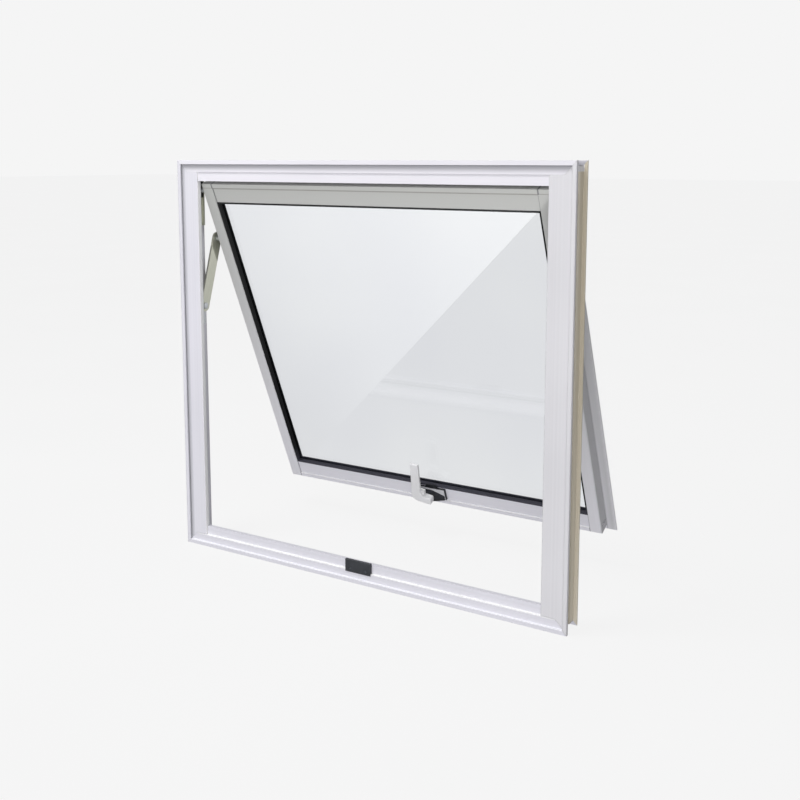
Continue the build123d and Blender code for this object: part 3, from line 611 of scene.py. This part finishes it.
screw_group(
    "striker_screws",
    head=(2.3, 0.6),
    shank=(1.4, 7.0),
    cross_depth=0.5,
    seats=[((x, striker_front, striker_screw_z), (0, -1, 0)) for x in striker_screw_x],
    body="frame",
    finish=black_zinc,
)
stay_seats = [(track_floor, level) for level in track_screw_levels]
stay_seats += [(plate_face, level) for level in plate_screw_levels]
screw_group(
    "stay_track_screws",
    head=(3.2, 1.4),
    shank=(1.7, 9.0),
    cross_depth=1.1,
    seats=[((s * seat_x, stay_y, level), (-s, 0, 0)) for s in SIDES for seat_x, level in stay_seats],
    body="frame",
)
screw_group(
    "sash_bracket_screws",
    head=(3.2, 1.6),
    shank=(1.9, 10.0),
    cross_depth=1.2,
    seats=[(on_sash((s * bracket_outer, 0, up)), (s, 0, 0)) for s in SIDES for up in bracket_screw_ups],
    body="sash",
)
screw_group(
    "sash_corner_screws",
    head=(3.4, 2.2),
    shank=(1.9, 24.0),
    cross_depth=1.5,
    seats=[
        (on_sash((s * corner_seat, sash_face + depth, up)), (s, 0, 0))
        for s in SIDES
        for up in (sash_down + corner_screw_in, sash_up - corner_screw_in)
        for depth in corner_screw_depths
    ],
    body="sash",
)

# Rivet domes on the heads of the studs that the arms turn on
dome = rivet_dome(radius=4.6, height=0.9)
stud_seats = [((s * (arm_inner - rivet_lift), stay_y, anchor_z), (-s, 0, 0)) for s in SIDES]
domes = [turned(dome, seat, direction) for seat, direction in stud_seats]
make_piece("arm_pivot_domes", domes, zinc, "frame")

# Floor that the camera sees, and that neither lights the window nor shows in the glass
floor_half = 30000.0
floor_mesh = bpy.data.meshes.new("studio_floor")
corners = np.array([(-1, -1, 0), (1, -1, 0), (1, 1, 0), (-1, 1, 0)]) * floor_half * MM
floor_mesh.from_pydata(corners.tolist(), [], [(0, 1, 2, 3)])
floor_mesh.materials.append(plain_floor("studio_floor_paint"))
floor = bpy.data.objects.new("studio_floor", floor_mesh)
bpy.context.scene.collection.objects.link(floor)
floor.visible_diffuse = False
floor.visible_glossy = False

# Surroundings: an even fill, a little dimmer behind the window, with a bright patch in front of it. The
# camera sees a plain backdrop instead
fill_level = 0.39
dimmer_way = (0.0, 0.08, 0.0)
patch_way = (0.29, -0.957, 0.0)
patch_power = 16.0
patch_gain = 3.75
world = bpy.data.worlds.new("studio")
world.use_nodes = True
sky = world.node_tree
sky.nodes.clear()
seen = add(sky, "LightPath").outputs["Is Camera Ray"]
toward = add(sky, "TexCoord").outputs["Generated"]
dimmer = add(sky, "VectorMath", {0: toward, 1: dimmer_way}, operation="DOT_PRODUCT").outputs["Value"]
level = add(sky, "Math", {0: fill_level, 1: dimmer}, operation="SUBTRACT").outputs["Value"]
facing = add(sky, "VectorMath", {0: toward, 1: patch_way}, operation="DOT_PRODUCT").outputs["Value"]
ahead = add(sky, "Math", {0: facing, 1: 0.0}, operation="MAXIMUM").outputs["Value"]
patch = add(sky, "Math", {0: ahead, 1: patch_power}, operation="POWER").outputs["Value"]
lit = add(sky, "Math", {0: patch, 1: patch_gain, 2: level}, operation="MULTIPLY_ADD").outputs["Value"]
fill = add(sky, "Background", {"Color": linear("#FAFAFC"), "Strength": lit})
backdrop = add(sky, "Background", {"Color": linear("#F5F5F5"), "Strength": 1.0})
shown = add(sky, "MixShader", {0: seen, 1: fill.outputs["Background"], 2: backdrop.outputs["Background"]})
sky.links.new(shown.outputs["Shader"], add(sky, "OutputWorld").inputs["Surface"])
bpy.context.scene.world = world


def softbox(name, watts, size, place, aim):
    """Add a square lamp of a size, at a place and turned to an aim, in millimetres."""
    lamp = bpy.data.lights.new(name, "AREA")
    lamp.energy = watts
    lamp.size = size * MM
    holder = bpy.data.objects.new(name, lamp)
    holder.location = np.array(place) * MM
    way = Vector(np.array(aim) - np.array(place))
    holder.rotation_euler = way.to_track_quat("-Z", "Y").to_euler()
    holder.visible_camera = False
    bpy.context.scene.collection.objects.link(holder)


softbox(
    "overhead_softbox",
    watts=26.0,
    size=700.0,
    place=(-500.0, -700.0, 2200.0),
    aim=(0.0, 0.0, 320.0),
)

# Bright panel in front of the pane that only its mirror image shows: the glass is paler at the upper left,
# with a straight slanting edge, and the panel fades along that edge towards its lower end
panel_out = sash_face - 6.0
panel_left, panel_right = -300.0, 298.2
panel_up, panel_down = 20.0, -558.0
panel_fade = {"To Min": 0.3, "To Max": 2.4}
panel_edge = [(-206.0, panel_out, -467.3), (252.3, panel_out, -24.4)]
panel_outline = [
    (panel_right, panel_out, panel_up),
    (panel_left, panel_out, panel_up),
    (panel_left, panel_out, panel_down),
]
panel_mesh = bpy.data.meshes.new("reflected_panel")
panel_mesh.from_pydata((on_sash(panel_outline) * MM).tolist(), [], [(0, 1, 2)])
panel_material, panel_tree, panel_output = new_material("reflected_panel_glow")
edge_low, edge_high = on_sash(panel_edge) * MM
edge_line = (edge_high - edge_low) / np.sum((edge_high - edge_low) ** 2)
panel_place = add(panel_tree, "TexCoord").outputs["Object"]
start = {0: panel_place, 1: edge_low.tolist()}
from_low = add(panel_tree, "VectorMath", start, operation="SUBTRACT").outputs[0]
run = {0: from_low, 1: edge_line.tolist()}
share_up = add(panel_tree, "VectorMath", run, operation="DOT_PRODUCT").outputs["Value"]
fade = add(panel_tree, "MapRange", {"Value": share_up, **panel_fade}).outputs["Result"]
panel_glow = add(panel_tree, "Emission", {"Strength": fade})
panel_tree.links.new(panel_glow.outputs["Emission"], panel_output.inputs["Surface"])
panel_mesh.materials.append(panel_material)
panel = bpy.data.objects.new("reflected_panel", panel_mesh)
bpy.context.scene.collection.objects.link(panel)
panel.visible_camera = False
panel.visible_diffuse = False
panel.visible_shadow = False

# Camera, fitted to the frame's corners in the photo with a small shift, so that other views keep the
# whole window in sight. The lens's axis meets the picture at lens_row
camera_place = (782.3, -1177.6, 601.1)
camera_yaw = 31.11
camera_pitch = 7.735
picture_size = 800
focal_pixels = 1033.9
lens_row = 299.9
sensor = 36.0
camera_data = bpy.data.cameras.new("photo_camera")
camera_data.sensor_width = sensor
camera_data.lens = focal_pixels * sensor / picture_size
camera_data.shift_y = (lens_row - picture_size / 2) / picture_size
camera = bpy.data.objects.new("photo_camera", camera_data)
camera.location = [value * MM for value in camera_place]
camera.rotation_euler = (math.radians(90 - camera_pitch), 0, math.radians(camera_yaw))
bpy.context.scene.collection.objects.link(camera)
bpy.context.scene.camera = camera
bpy.context.scene.view_settings.view_transform = "Standard"
